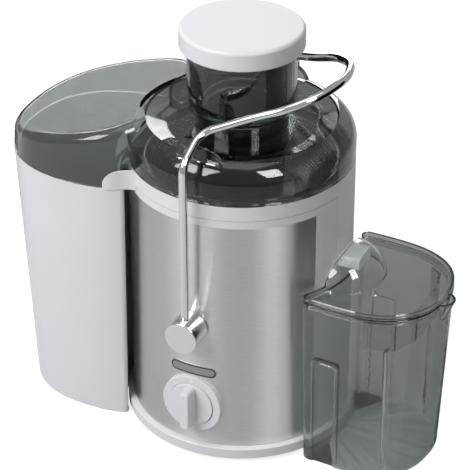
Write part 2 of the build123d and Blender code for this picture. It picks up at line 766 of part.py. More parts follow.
SWITCH_FRONT = 90.0
with BuildPart() as switch_shaft:
    with BuildSketch(dial_face.offset(SWITCH_FRONT - 14)):
        Circle(3)
    extrude(amount=BEZEL_FLOOR + 7.9 - SWITCH_FRONT + 14)
save(switch_shaft, "switch_shaft")

with BuildPart() as rotary_switch:
    with BuildSketch(dial_face.offset(SWITCH_FRONT - 24)):
        RectangleRounded(26, 26, 3)
    extrude(amount=24)
    with BuildSketch(dial_face.offset(SWITCH_FRONT - 15)):
        Circle(3.06)
    extrude(amount=16, mode=Mode.SUBTRACT)
    for side in (-9, 0, 9):
        with BuildSketch(dial_face.offset(SWITCH_FRONT - 30)):
            with Locations((side, 0)):
                Rectangle(0.9, 5)
        extrude(amount=6.5)
save(rotary_switch, "rotary_switch")

BADGE_Z = 87.0
badge_face = Plane(origin=(0, 0, BADGE_Z), x_dir=(1, 0, 0), z_dir=(0, -1, 0))
with BuildPart() as badge_plate:
    with BuildSketch(badge_face.offset(85)):
        SlotOverall(42, 10)
    extrude(amount=12)
    add(disc(BODY_R + 0.04, 0, 120), mode=Mode.SUBTRACT)
    add(ring(BODY_R + 0.64, BODY_R + 20, 0, 120), mode=Mode.SUBTRACT)
save(badge_plate, "badge_plate")

# ---- pulp container ----------------------------------------------------------------------------
GRIP_HIGH = 176.0
GRIP_LOW = 19.0
GRIP_HALF_WIDTH = 11.0
FLOOR_WALL = 2.8
with BuildPart() as pulp_container:
    add(tapered(container_points(0, CONTAINER_DRAFT), container_points(0, 0), 0, CONTAINER_TOP))
    add(disc(RECESS_R, -1, CONTAINER_TOP + 1), mode=Mode.SUBTRACT)
    fillet(upright_corners(pulp_container), 4)
    fillet(pulp_container.faces().sort_by(Axis.Z)[0].edges(), 1.5)
    # Grip: a hollow rib down the far end, open underneath for the fingertips.
    with BuildSketch(Plane.XZ.offset(-GRIP_HALF_WIDTH)):
        with BuildLine():
            Polyline((-186, GRIP_LOW), (-202.5, GRIP_LOW), (-204.5, GRIP_HIGH - 12), (-192, GRIP_HIGH + 6),
                     (-186, GRIP_HIGH + 6), close=True)
        make_face()
    extrude(amount=2 * GRIP_HALF_WIDTH)
    add(tapered(container_points(WALL, CONTAINER_DRAFT), container_points(WALL, 0), FLOOR_WALL,
                CONTAINER_TOP + 0.01), mode=Mode.SUBTRACT)
    with BuildSketch(Plane.XZ.offset(-GRIP_HALF_WIDTH + 2)):
        with BuildLine():
            Polyline((-196, GRIP_LOW - 1), (-200.6, GRIP_LOW - 1), (-202.5, GRIP_HIGH - 13),
                     (-199, GRIP_HIGH - 13), close=True)
        make_face()
    extrude(amount=2 * GRIP_HALF_WIDTH - 4, mode=Mode.SUBTRACT)
    add(sector(RECESS_R, RECESS_R + WALL, 0, CONTAINER_TOP, 144, 216))
    with BuildSketch(Plane.XY.offset(0)):
        Circle(RECESS_R)
    extrude(amount=CONTAINER_TOP, mode=Mode.SUBTRACT)
save(pulp_container, "pulp_container")

# ---- juice jug, foam separator and jug lid -----------------------------------------------------
jug_plane = Plane(origin=(0, 0, 0), x_dir=(*on_circle(1, JUG_TURN), 0), z_dir=(0, 0, 1))
jug_front = Plane(
    origin=(0, 0, 0),
    x_dir=(*on_circle(1, JUG_TURN), 0),
    z_dir=(*on_circle(1, JUG_TURN - 90), 0),
)
JUG_WALL = 2.4
LIP_X = 186.0
GRIP_CENTRE_X = 109.0
GRIP_WIDTH = 20.0
GRIP_TOP = 104.0
CORNER_R = 6.0


def jug_lip(radius_high, radius_low, high, low):
    """The pouring lip: half a cone that grows out of the rounded end."""
    with BuildPart() as body:
        with BuildSketch(jug_plane.offset(low)):
            with Locations((LIP_X - 7, 0)):
                Circle(radius_low)
        with BuildSketch(jug_plane.offset(high)):
            with Locations((LIP_X, 0)):
                Circle(radius_high)
        loft()
    return body.part


def finger_grooves(grow, depth, centre_z):
    """Two upright cutters, one in each long side of the jug and open at its foot."""
    with BuildPart() as body:
        for side in (1, -1):
            with BuildSketch(jug_front.offset(side * (JUG_HALF_WIDTH + 2))):
                with Locations((GRIP_CENTRE_X, centre_z)):
                    RectangleRounded(GRIP_WIDTH + grow, GRIP_TOP + 20, 4)
            extrude(amount=-side * depth)
    return body.part


RIB_LOW = 7.0
RIB_TOP = 128.0
RIB_X = 159.0
with BuildPart() as jug_hollow:
    hollow_low = jug_points(JUG_WALL, JUG_DRAFT)
    hollow_high = jug_points(JUG_WALL, 0)
    add(tapered(hollow_low, hollow_high, FLOOR_WALL, JUG_TOP + 0.01, jug_plane))
    add(disc(RECESS_R + JUG_WALL, -1, JUG_TOP + 1), mode=Mode.SUBTRACT)
    add(jug_lip(9.3, 1.8, JUG_TOP + 0.01, JUG_TOP - 32))
    add(finger_grooves(4.6, 10.3, GRIP_TOP / 2 - 8), mode=Mode.SUBTRACT)
    # Two upright ribs stay standing in the hollow, for the foam separator to rest on.
    with BuildSketch(jug_plane.offset(RIB_LOW)):
        with Locations((RIB_X, 50), (RIB_X, -50)):
            Rectangle(2.4, 16)
    extrude(amount=RIB_TOP - RIB_LOW, mode=Mode.SUBTRACT)

with BuildPart() as juice_jug:
    add(tapered(jug_points(0, JUG_DRAFT), jug_points(0, 0), 0, JUG_TOP, jug_plane))
    add(disc(RECESS_R, -1, JUG_TOP + 1), mode=Mode.SUBTRACT)
    fillet(upright_corners(juice_jug), CORNER_R)
    fillet(juice_jug.faces().sort_by(Axis.Z)[0].edges(), 1.5)
    add(jug_lip(11.5, 4, JUG_TOP, JUG_TOP - 34))
    add(finger_grooves(0, 8, GRIP_TOP / 2 - 10), mode=Mode.SUBTRACT)
    add(jug_hollow.part, mode=Mode.SUBTRACT)
save(juice_jug, "juice_jug")

SEPARATOR_TOP = JUG_TOP - 5.4
with BuildPart() as foam_separator:
    with BuildSketch(jug_plane.offset(RIB_TOP)):
        with BuildLine():
            separator_path = Polyline((141, -52), (165, -44), (173, -22), (173, 20), (166, 41), (157, 47))
            offset(separator_path, amount=1.1)
        make_face()
    extrude(amount=SEPARATOR_TOP - RIB_TOP)
save(foam_separator, "foam_separator")

PLATE_LOW = JUG_TOP + 0.2
PLATE_HIGH = PLATE_LOW + 1.8
RIM_HIGH = PLATE_LOW + 4.8
VISOR_X = 97.0
VISOR_R = 36.0
VISOR_HEIGHT = 28.0


def straight_jug_shape(inset, low, high, clearance=0.4):
    """An upright block with the outline of the jug's rim, drawn in by the inset."""
    with BuildPart() as body:
        add(tapered(jug_points(inset, 0), jug_points(inset, 0), low, high, jug_plane))
        add(disc(RECESS_R + clearance, low - 1, high + 1), mode=Mode.SUBTRACT)
        fillet(upright_corners(body, 0.9 * (high - low)), CORNER_R - 0.8 * inset)
    return body.part


def visor(shrink):
    """A flattened dome over the spout, later opened towards the body."""
    with BuildPart() as body:
        with BuildSketch(jug_front):
            with BuildLine():
                Line((VISOR_X, PLATE_LOW), (VISOR_X + VISOR_R - shrink, PLATE_LOW))
                EllipticalCenterArc(
                    (VISOR_X, PLATE_LOW),
                    VISOR_R - shrink,
                    VISOR_HEIGHT - shrink,
                    start_angle=0,
                    arc_size=90,
                )
                Line((VISOR_X, PLATE_LOW + VISOR_HEIGHT - shrink), (VISOR_X, PLATE_LOW))
            make_face()
        revolve(axis=Axis(jug_plane.from_local_coords((VISOR_X, 0, 0)), (0, 0, 1)))
    return body.part


with BuildPart() as jug_lid:
    add(straight_jug_shape(0.2, PLATE_LOW, RIM_HIGH))
    add(straight_jug_shape(2.6, PLATE_HIGH, RIM_HIGH + 1, 3.0), mode=Mode.SUBTRACT)
    add(straight_jug_shape(3.0, PLATE_LOW - 5, PLATE_LOW + 0.1, 3.0))
    add(straight_jug_shape(5.0, PLATE_LOW - 6, PLATE_LOW, 5.0), mode=Mode.SUBTRACT)
    with BuildSketch(jug_plane.offset(PLATE_LOW - 8)):
        with Locations((VISOR_X, 0)):
            Circle(VISOR_R - 2)
    extrude(amount=RIM_HIGH - PLATE_LOW + 9, mode=Mode.SUBTRACT)
    add(visor(0))
    add(visor(2), mode=Mode.SUBTRACT)
    add(disc(RECESS_R + 0.4, PLATE_LOW - 8, PLATE_LOW + VISOR_HEIGHT + 2), mode=Mode.SUBTRACT)
save(jug_lid, "jug_lid")
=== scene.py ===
# %% [markdown]
# # A centrifugal juicer, piece by piece
# The juicer stands on a round base, its motor in a drum that is wrapped in brushed steel.
# A smoked cover with a feed chute sits on top, held down by a chromed wire arm. The pulp
# container hangs on the left and the juice jug stands on the right.
# The solid parts come ready-made from the CAD model, already in place and jointed. This
# lesson gives them their finishes, makes the pieces that repeat or follow a path, and
# lights the whole thing like a product on a white table.

import math

import bmesh
import bpy
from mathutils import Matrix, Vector


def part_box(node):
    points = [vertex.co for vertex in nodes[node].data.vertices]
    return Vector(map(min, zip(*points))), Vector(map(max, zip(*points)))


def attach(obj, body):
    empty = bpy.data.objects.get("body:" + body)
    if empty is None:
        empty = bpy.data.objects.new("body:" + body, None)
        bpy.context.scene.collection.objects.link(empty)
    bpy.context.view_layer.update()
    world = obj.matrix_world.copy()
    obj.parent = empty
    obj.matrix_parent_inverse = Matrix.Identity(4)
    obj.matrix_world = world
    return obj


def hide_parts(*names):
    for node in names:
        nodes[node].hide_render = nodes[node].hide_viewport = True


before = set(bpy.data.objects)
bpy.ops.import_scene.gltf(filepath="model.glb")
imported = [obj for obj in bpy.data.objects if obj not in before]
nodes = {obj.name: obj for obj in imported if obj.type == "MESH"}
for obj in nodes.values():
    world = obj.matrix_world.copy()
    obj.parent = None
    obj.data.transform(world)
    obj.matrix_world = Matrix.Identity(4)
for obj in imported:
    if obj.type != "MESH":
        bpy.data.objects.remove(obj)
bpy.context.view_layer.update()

# %% [markdown]
# Colours are given as sRGB hex values, but a renderer mixes light linearly. One
# function turns the first into the second, so that every finish below can be written in
# the form a colour picker shows.

# %% Colours from hex
def paint(hex_value, strength=1.0):
    channels = [int(hex_value[i : i + 2], 16) / 255 for i in (1, 3, 5)]
    linear = [c / 12.92 if c <= 0.04045 else ((c + 0.055) / 1.055) ** 2.4 for c in channels]
    return (*[strength * c for c in linear], 1.0)


print("mid grey is", [round(c, 3) for c in paint("#808080")])

# %% [markdown]
# A finish is a small graph of nodes. Building one by hand takes three lines for each
# node: make it, set it, link it. The helper does all three, and the recipes below then
# read from top to bottom in the order that the light sees them.

# %% One helper for nodes
def place(tree, kind, inputs=None, **settings):
    """Adds a node. A tuple (node, output) or a node in inputs is linked; the rest is set."""
    made = tree.nodes.new(kind)
    for name, value in settings.items():
        setattr(made, name, value)
    for name, value in (inputs or {}).items():
        if isinstance(value, tuple) and len(value) == 2 and isinstance(value[0], bpy.types.Node):
            tree.links.new(value[0].outputs[value[1]], made.inputs[name])
        elif isinstance(value, bpy.types.Node):
            tree.links.new(value.outputs[0], made.inputs[name])
        else:
            made.inputs[name].default_value = value
    return made


def new_finish(name):
    made = bpy.data.materials.new(name)
    made.use_nodes = True
    made.node_tree.nodes.clear()
    return made, made.node_tree


# %% [markdown]
# Light grey ABS is what the base, drum, bowl, container, dial and cap are moulded from.
# The mould is spark-eroded, which leaves a fine even grain and turns a gloss into a soft
# satin. The real grain is about 0.15 mm; it is drawn at about 0.5 mm, so that it still
# shows from arm's length. Slow changes in tone and roughness stand for flow in the mould
# and for handling.

# %% Moulded ABS
def moulded_plastic(name, colour, shade, grain_mm, depth, roughness, gloss_spread=0.08):
    finish, tree = new_finish(name)
    where = place(tree, "ShaderNodeTexCoord")
    flow = place(tree, "ShaderNodeTexNoise", {"Vector": (where, "Object"), "Scale": 14.0, "Detail": 3.0})
    grain = place(
        tree,
        "ShaderNodeTexNoise",
        {"Vector": (where, "Object"), "Scale": 1000.0 / grain_mm, "Detail": 1.0},
    )
    tone = place(
        tree,
        "ShaderNodeMix",
        {"Factor": (flow, "Fac"), "A": paint(shade), "B": paint(colour)},
        data_type="RGBA",
    )
    rough = place(
        tree,
        "ShaderNodeMapRange",
        {"Value": (flow, "Fac"), "To Min": roughness - gloss_spread, "To Max": roughness + gloss_spread},
    )
    bump = place(
        tree,
        "ShaderNodeBump",
        {"Height": (grain, "Fac"), "Strength": depth, "Distance": 0.00012},
    )
    shader = place(
        tree,
        "ShaderNodeBsdfPrincipled",
        {
            "Base Color": (tone, "Result"),
            "Roughness": (rough, "Result"),
            "Normal": (bump, "Normal"),
            "IOR": 1.52,
        },
    )
    place(tree, "ShaderNodeOutputMaterial", {"Surface": (shader, "BSDF")})
    print("finish", name)
    return finish


grey_abs = moulded_plastic("spark_eroded_grey_abs", "#D9DADD", "#D3D4D8", 0.5, 0.35, 0.42)
dark_nylon = moulded_plastic("moulded_dark_nylon", "#34363A", "#2C2E31", 0.7, 0.4, 0.5)
white_nylon = moulded_plastic("moulded_natural_nylon", "#D9D6CC", "#D0CDC2", 0.7, 0.4, 0.5)
soft_rubber = moulded_plastic("moulded_soft_rubber", "#2A2A2B", "#232324", 0.9, 0.6, 0.78, 0.05)

# %% [markdown]
# The cover, jug and pusher are smoked SAN, a clear plastic with a little carbon pigment.
# Polished moulds give it a glassy face, with very slight waves where it shrank. Each wall
# takes away some light, so overlapping walls get darker by themselves. A shader that only
# bends light would throw a black shadow, so for shadow rays it is swapped for a tinted
# see-through one.

# %% Smoked SAN
def smoked_plastic(name, tint, shadow, roughness=0.03):
    finish, tree = new_finish(name)
    where = place(tree, "ShaderNodeTexCoord")
    waves = place(tree, "ShaderNodeTexNoise", {"Vector": (where, "Object"), "Scale": 34.0, "Detail": 1.5})
    smears = place(tree, "ShaderNodeTexNoise", {"Vector": (where, "Object"), "Scale": 9.0, "Detail": 4.0})
    rough = place(
        tree,
        "ShaderNodeMapRange",
        {"Value": (smears, "Fac"), "To Min": roughness * 0.5, "To Max": roughness * 1.8},
    )
    bump = place(tree, "ShaderNodeBump", {"Height": (waves, "Fac"), "Strength": 0.12, "Distance": 0.0006})
    glass = place(
        tree,
        "ShaderNodeBsdfPrincipled",
        {
            "Base Color": paint(tint),
            "Roughness": (rough, "Result"),
            "Normal": (bump, "Normal"),
            "IOR": 1.5,
            "Transmission Weight": 1.0,
        },
    )
    clear = place(tree, "ShaderNodeBsdfTransparent", {"Color": paint(shadow)})
    ray = place(tree, "ShaderNodeLightPath")
    swap = place(tree, "ShaderNodeMixShader", {0: (ray, "Is Shadow Ray"), 1: glass, 2: clear})
    place(tree, "ShaderNodeOutputMaterial", {"Surface": swap})
    print("finish", name)
    return finish


smoked_san = smoked_plastic("polished_smoked_san", "#DDE1E0", "#CCD0CE")
smoked_cover = smoked_plastic("polished_smoked_san_cover", "#B4B9B8", "#8F9594")
deep_smoked_san = smoked_plastic("polished_deep_smoked_san", "#8E9896", "#868D8B", 0.06)

# %% [markdown]
# The drum's wrap is stainless strip, brushed along its length before it was rolled round.
# The belt leaves long scratches, a few hundredths of a millimetre apart and drawn at about
# a quarter of a millimetre. They spread every reflection up and down and hold it narrow
# from side to side, so the steel shows upright bands. The pattern is laid out on the angle
# round the drum and the height, as the flat strip was.

# %% Brushed stainless steel
SCRATCH_LENGTH_MM = 14.0


def brushed_steel(name, colour, shade, scratch_mm, roughness, anisotropy, drum_radius=0.0957):
    finish, tree = new_finish(name)
    where = place(tree, "ShaderNodeTexCoord")
    parts = place(tree, "ShaderNodeSeparateXYZ", {"Vector": (where, "Object")})
    angle = place(tree, "ShaderNodeMath", {0: (parts, "Y"), 1: (parts, "X")}, operation="ARCTAN2")
    along = place(
        tree, "ShaderNodeMath", {0: angle, 1: drum_radius * 1000 / SCRATCH_LENGTH_MM}, operation="MULTIPLY"
    )
    across = place(tree, "ShaderNodeMath", {0: (parts, "Z"), 1: 1000.0 / scratch_mm}, operation="MULTIPLY")
    strip = place(tree, "ShaderNodeCombineXYZ", {"X": along, "Y": across})
    scratches = place(
        tree,
        "ShaderNodeTexNoise",
        {"Vector": strip, "Scale": 1.0, "Detail": 3.0, "Roughness": 0.7},
    )
    tone = place(
        tree,
        "ShaderNodeMix",
        {"Factor": (scratches, "Fac"), "A": paint(shade), "B": paint(colour)},
        data_type="RGBA",
    )
    rough = place(
        tree,
        "ShaderNodeMapRange",
        {"Value": (scratches, "Fac"), "To Min": roughness - 0.07, "To Max": roughness + 0.09},
    )
    bump = place(
        tree,
        "ShaderNodeBump",
        {"Height": (scratches, "Fac"), "Strength": 0.25, "Distance": 0.00004},
    )
    grain_way = place(tree, "ShaderNodeTangent", direction_type="RADIAL", axis="Z")
    shader = place(
        tree,
        "ShaderNodeBsdfPrincipled",
        {
            "Base Color": (tone, "Result"),
            "Metallic": 1.0,
            "Roughness": (rough, "Result"),
            "Anisotropic": anisotropy,
            "Anisotropic Rotation": 0.25,
            "Tangent": grain_way,
            "Normal": (bump, "Normal"),
        },
    )
    place(tree, "ShaderNodeOutputMaterial", {"Surface": shader})
    print("finish", name)
    return finish


brushed = brushed_steel("brushed_stainless_strip", "#E2E2E2", "#C2C2C2", 0.7, 0.32, 0.92)

# %% [markdown]
# The badge is a small blank plate of brushed aluminium, its border printed in black. The
# border is a rule: it runs at a fixed distance inside the plate's rounded outline, which
# is the set of points at one distance from a short level line.

# %% Printed plate
def bordered_plate(name, colour, ink_colour, inset, line):
    low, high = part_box("badge_plate")
    half_height = (high.z - low.z) / 2
    half_core = (high.x - low.x) / 2 - half_height
    middle_z = (high.z + low.z) / 2
    finish, tree = new_finish(name)
    where = place(tree, "ShaderNodeTexCoord")
    parts = place(tree, "ShaderNodeSeparateXYZ", {"Vector": (where, "Object")})
    side = place(tree, "ShaderNodeMath", {0: (parts, "X")}, operation="ABSOLUTE")
    past_core = place(tree, "ShaderNodeMath", {0: side, 1: half_core}, operation="SUBTRACT")
    beyond = place(tree, "ShaderNodeMath", {0: past_core, 1: 0.0}, operation="MAXIMUM")
    above = place(tree, "ShaderNodeMath", {0: (parts, "Z"), 1: middle_z}, operation="SUBTRACT")
    offset = place(tree, "ShaderNodeCombineXYZ", {"X": beyond, "Y": above})
    distance = place(tree, "ShaderNodeVectorMath", {0: offset}, operation="LENGTH")
    in_border = place(
        tree,
        "ShaderNodeMath",
        {0: (distance, "Value"), 1: half_height - inset, 2: line / 2},
        operation="COMPARE",
    )
    brush = place(tree, "ShaderNodeTexNoise", {"Vector": (where, "Object"), "Scale": 1800.0, "Detail": 2.0})
    bump = place(tree, "ShaderNodeBump", {"Height": (brush, "Fac"), "Strength": 0.2, "Distance": 0.00003})
    tone = place(
        tree,
        "ShaderNodeMix",
        {"Factor": in_border, "A": paint(colour), "B": paint(ink_colour)},
        data_type="RGBA",
    )
    metal = place(tree, "ShaderNodeMath", {0: 1.0, 1: in_border}, operation="SUBTRACT")
    shader = place(
        tree,
        "ShaderNodeBsdfPrincipled",
        {"Base Color": (tone, "Result"), "Metallic": metal, "Roughness": 0.38, "Normal": (bump, "Normal")},
    )
    place(tree, "ShaderNodeOutputMaterial", {"Surface": shader})
    print("finish", name)
    return finish


printed_plate = bordered_plate("printed_aluminium_badge", "#A9AAAC", "#0C0C0D", 0.0010, 0.0011)

# %% [markdown]
# The arm and its hinge bosses are chrome over polished nickel: a mirror. What makes it look
# real is what it reflects, and a trace of roughness where hands have been.
# The other metals are plainer: the drawn stainless of the basket, the laminated steel of
# the motor, its copper, and the carbon of its brushes.

# %% Other metals
def plain_metal(name, colour, shade, roughness, spread, patch_mm, depth):
    finish, tree = new_finish(name)
    where = place(tree, "ShaderNodeTexCoord")
    wear = place(
        tree,
        "ShaderNodeTexNoise",
        {"Vector": (where, "Object"), "Scale": 1000 / patch_mm, "Detail": 5.0},
    )
    tone = place(
        tree,
        "ShaderNodeMix",
        {"Factor": (wear, "Fac"), "A": paint(shade), "B": paint(colour)},
        data_type="RGBA",
    )
    rough = place(
        tree,
        "ShaderNodeMapRange",
        {"Value": (wear, "Fac"), "To Min": roughness - spread, "To Max": roughness + spread},
    )
    bump = place(tree, "ShaderNodeBump", {"Height": (wear, "Fac"), "Strength": depth, "Distance": 0.0001})
    shader = place(
        tree,
        "ShaderNodeBsdfPrincipled",
        {
            "Base Color": (tone, "Result"),
            "Metallic": 1.0,
            "Roughness": (rough, "Result"),
            "Normal": (bump, "Normal"),
        },
    )
    place(tree, "ShaderNodeOutputMaterial", {"Surface": shader})
    print("finish", name)
    return finish


chrome = plain_metal("chrome_plate", "#F3F4F6", "#EDEEF1", 0.05, 0.02, 30.0, 0.0)
drawn_steel = plain_metal("drawn_stainless_sheet", "#D2D2D0", "#BDBDBB", 0.22, 0.06, 6.0, 0.05)
motor_steel = plain_metal("laminated_motor_steel", "#8C8D8F", "#77787A", 0.42, 0.1, 3.0, 0.3)
copper = plain_metal("enamelled_copper_wire", "#B4693C", "#99522B", 0.32, 0.08, 1.2, 0.5)
carbon = moulded_plastic("pressed_carbon", "#232325", "#19191B", 0.6, 0.5, 0.6)

# %% [markdown]
# Which finish goes on which part is a list, in the order of the parts' jobs. The CAD parts
# keep their meshes; only the material in their slot changes.

# %% Finishes on the CAD parts
FINISHES = {
    "light_grey_abs": grey_abs,
    "smoked_plastic": smoked_san,
    "brushed_stainless": brushed,
    "chrome": chrome,
    "inner_plastic": dark_nylon,
    "rubber": soft_rubber,
    "motor_steel": motor_steel,
    "copper": copper,
    "carbon": carbon,
}
SPECIAL = {
    "lid": smoked_cover,
    "pulp_cover": smoked_cover,
    "pusher_body": deep_smoked_san,
    "badge_plate": printed_plate,
    "filter_basket": drawn_steel,
    "grater_disc": drawn_steel,
    "basket_base": white_nylon,
    "drive_coupling": white_nylon,
    "rotary_switch": white_nylon,
}
for part_name, part in nodes.items():
    packed_slot = part.data.materials[0].name.split(".")[0]
    part.data.materials[0] = SPECIAL.get(part_name, FINISHES[packed_slot])
print("finished parts:", len(nodes))

# %% [markdown]
# The locking arm is one steel wire, bent in a jig: up one side, over at the knees, and
# round the chute in a bow that leans back. Its shape is a rule, not a drawing: corner
# points, a bend at each, and a round wire swept along. Geometry Nodes does it in that
# order. The corners are a chain of vertices that carry their own bend radius.

# %% The bent wire
ARM_Y, KNEE_Z, WIRE_R = 0.1085, 0.289, 0.0035
BOW_Z, BOW_RISE = 0.303, 0.355
WIRE_FOOT = 0.138


def on_bow(x, y):
    return (x, y, BOW_Z + BOW_RISE * x)


front_corners = [
    ((0, -ARM_Y, WIRE_FOOT), 0.0),
    ((0, -ARM_Y, KNEE_Z), 0.014),
    (on_bow(0, -0.078), 0.020),
    (on_bow(0.039, -0.058), 0.100),
    (on_bow(0.062, -0.0515), 0.045),
    (on_bow(0.083, -0.032), 0.045),
]
rear_corners = [((x, -y, z), bend) for (x, y, z), bend in reversed(front_corners)]
corners = front_corners + [(on_bow(0.0925, 0), 0.045)] + rear_corners


def wire_tree():
    tree = bpy.data.node_groups.new("bent_wire", "GeometryNodeTree")
    for name, kind in (
        ("Geometry", "NodeSocketGeometry"),
        ("Wire radius", "NodeSocketFloat"),
        ("Sides", "NodeSocketInt"),
        ("Steps per bend", "NodeSocketInt"),
        ("Finish", "NodeSocketMaterial"),
    ):
        tree.interface.new_socket(name, in_out="INPUT", socket_type=kind)
    tree.interface.new_socket("Geometry", in_out="OUTPUT", socket_type="NodeSocketGeometry")
    given = place(tree, "NodeGroupInput")
    chain = place(tree, "GeometryNodeMeshToCurve", {"Mesh": (given, "Geometry")})
    bend = place(tree, "GeometryNodeInputNamedAttribute", {"Name": "bend"}, data_type="FLOAT")
    bent = place(
        tree,
        "GeometryNodeFilletCurve",
        {"Curve": chain, "Count": (given, "Steps per bend"), "Radius": (bend, "Attribute")},
        mode="POLY",
    )
    profile = place(
        tree,
        "GeometryNodeCurvePrimitiveCircle",
        {"Resolution": (given, "Sides"), "Radius": (given, "Wire radius")},
    )
    swept = place(
        tree,
        "GeometryNodeCurveToMesh",
        {"Curve": bent, "Profile Curve": (profile, "Curve"), "Fill Caps": True},
    )
    smooth = place(tree, "GeometryNodeSetShadeSmooth", {"Geometry": swept})
    solid = place(tree, "GeometryNodeRealizeInstances", {"Geometry": smooth})
    dressed = place(tree, "GeometryNodeSetMaterial", {"Geometry": solid, "Material": (given, "Finish")})
    place(tree, "NodeGroupOutput", {"Geometry": dressed})
    return tree


# %% [markdown]
# A tree is used in the same way each time: put it on a small starting mesh as a modifier,
# set its inputs, and turn the result into a plain mesh that can be exported. The inputs
# are found by their identifiers, because their names are only labels.

# %% Turning a tree into a mesh
def socket_ids(tree):
    return {s.name: s.identifier for s in tree.interface.items_tree if s.in_out == "INPUT"}


def grow(name, start, tree, values):
    """Runs a Geometry Nodes tree on a starting mesh and returns a plain mesh object."""
    seed = bpy.data.objects.new(name + "_seed", start)
    bpy.context.scene.collection.objects.link(seed)
    modifier = seed.modifiers.new("rule", "NODES")
    modifier.node_group = tree
    ids = socket_ids(tree)
    for label, value in values.items():
        modifier[ids[label]] = value
    bpy.context.view_layer.update()
    graph = bpy.context.evaluated_depsgraph_get()
    mesh = bpy.data.meshes.new_from_object(seed.evaluated_get(graph), depsgraph=graph)
    mesh.name = name
    seed.modifiers.remove(modifier)
    bpy.data.objects.remove(seed)
    made = bpy.data.objects.new(name, mesh)
    bpy.context.scene.collection.objects.link(made)
    print(name, "has", len(mesh.vertices), "vertices and", len(mesh.polygons), "faces")
    return made


arm_chain = bpy.data.meshes.new("arm_chain")
arm_chain.from_pydata([p for p, bend in corners], [(i, i + 1) for i in range(len(corners) - 1)], [])
bends = arm_chain.attributes.new("bend", "FLOAT", "POINT")
bends.data.foreach_set("value", [bend for p, bend in corners])
arm_wire = grow(
    "locking_arm_wire",
    arm_chain,
    wire_tree(),
    {"Wire radius": WIRE_R, "Sides": 32, "Steps per bend": 24, "Finish": chrome},
)
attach(arm_wire, "arm")
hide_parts("locking_arm")

# %% [markdown]
# The basket's wall is a strip of thin stainless with thousands of etched holes, rolled
# into a cone. It is made here in the same way: one small square tile with a hole, tiled
# into a flat strip, and the strip bent into a cone by a rule on its coordinates. The real
# holes are half a millimetre; they are drawn at about one and a half, so that the eye
# still reads them as holes through the cover.

# %% One tile of the sieve
HOLE_SHARE = 0.31


def sieve_tile():
    """A unit square with an eight-sided hole, as eight quads whose outer edges tile."""
    tile = bmesh.new()
    rim, hole = [], []
    for step in range(8):
        angle = math.radians(45 * step)
        x, y = math.cos(angle), math.sin(angle)
        reach = 0.5 / max(abs(x), abs(y))
        rim.append(tile.verts.new((x * reach, y * reach, 0)))
        hole.append(tile.verts.new((x * HOLE_SHARE, y * HOLE_SHARE, 0)))
    for step in range(8):
        after = (step + 1) % 8
        tile.faces.new((rim[step], rim[after], hole[after], hole[step]))
    mesh = bpy.data.meshes.new("sieve_tile")
    tile.to_mesh(mesh)
    tile.free()
    holder = bpy.data.objects.new("sieve_tile", mesh)
    bpy.context.scene.collection.objects.link(holder)
    return holder


# %% [markdown]
# The strip's tree: a grid of points, a tile on each, all joined where they touch. Then the
# cone: the distance along the strip becomes an angle, and the distance across it moves
# each point out and up. Last, a small push along the normal gives the sheet its thickness.

